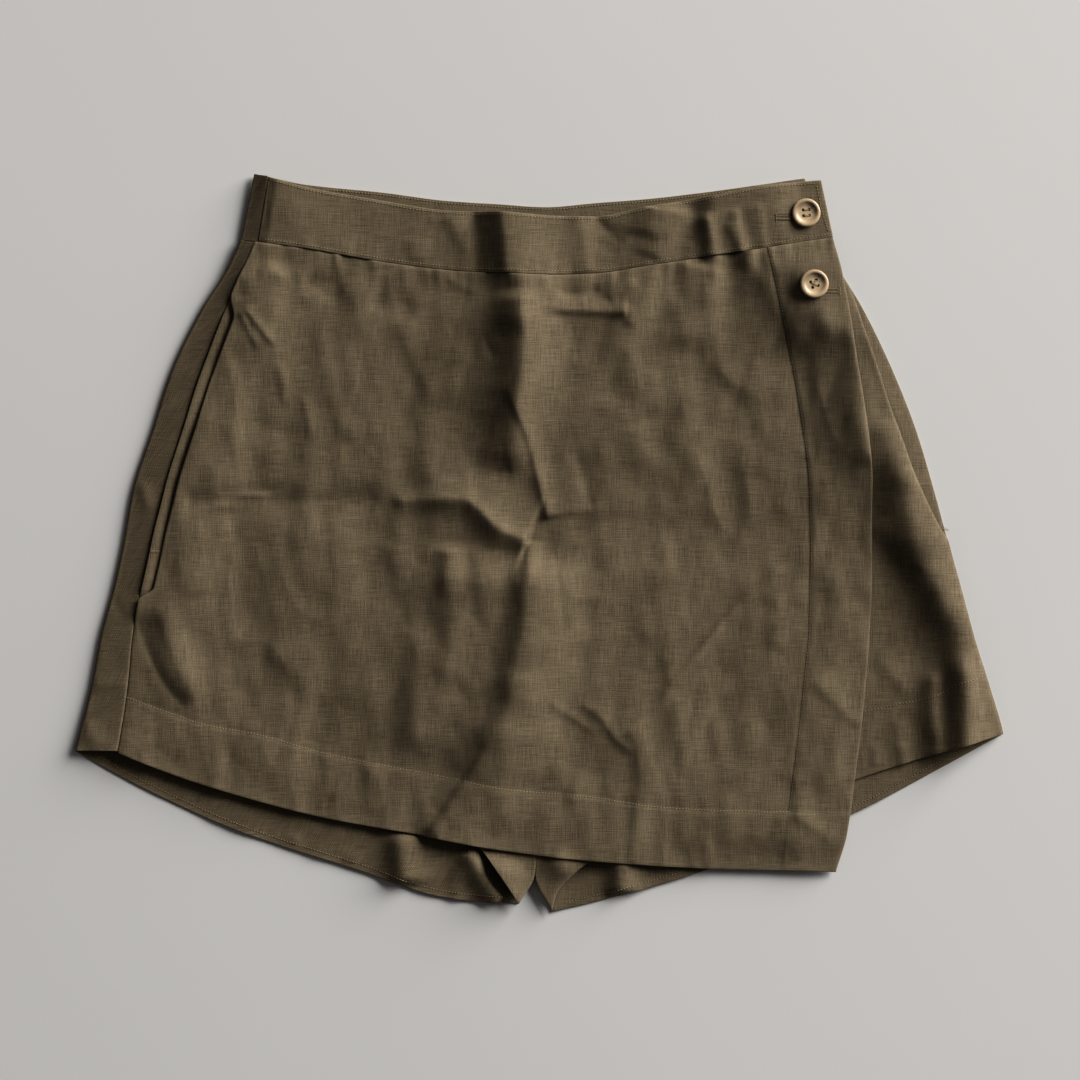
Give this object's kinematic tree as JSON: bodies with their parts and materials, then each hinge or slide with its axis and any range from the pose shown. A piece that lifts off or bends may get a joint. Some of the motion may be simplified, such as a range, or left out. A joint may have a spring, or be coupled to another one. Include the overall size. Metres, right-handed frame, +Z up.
{
  "type": "skort",
  "caption": "Wrap-front skort in plain-weave linen, laid flat: shorts with an overlapping skirt panel buttoned at the waist.",
  "frame": {"origin": "middle of the laid garment's outline, on the surface that it lies on", "axes": "+X across the waistband, to the buttoned side; +Y from the hems up to the waistband; +Z up from the surface"},
  "size_m": [0.5952, 0.4723, 0.0151],
  "materials": {
    "linen": "matt olive-brown plain-weave linen",
    "horn": "polished horn look, cream with a brown streak"
  },
  "bodies": {
    "root": {"back_left": "linen", "back_right": "linen", "front_left": "linen", "front_right": "linen", "wrap_panel": "linen", "waistband_back": "linen", "waistband_under": "linen", "waistband_wrap": "linen", "pocket_left": "linen", "pocket_right": "linen", "button_top": "horn", "button_bottom": "horn"}
  },
  "joints": []
}
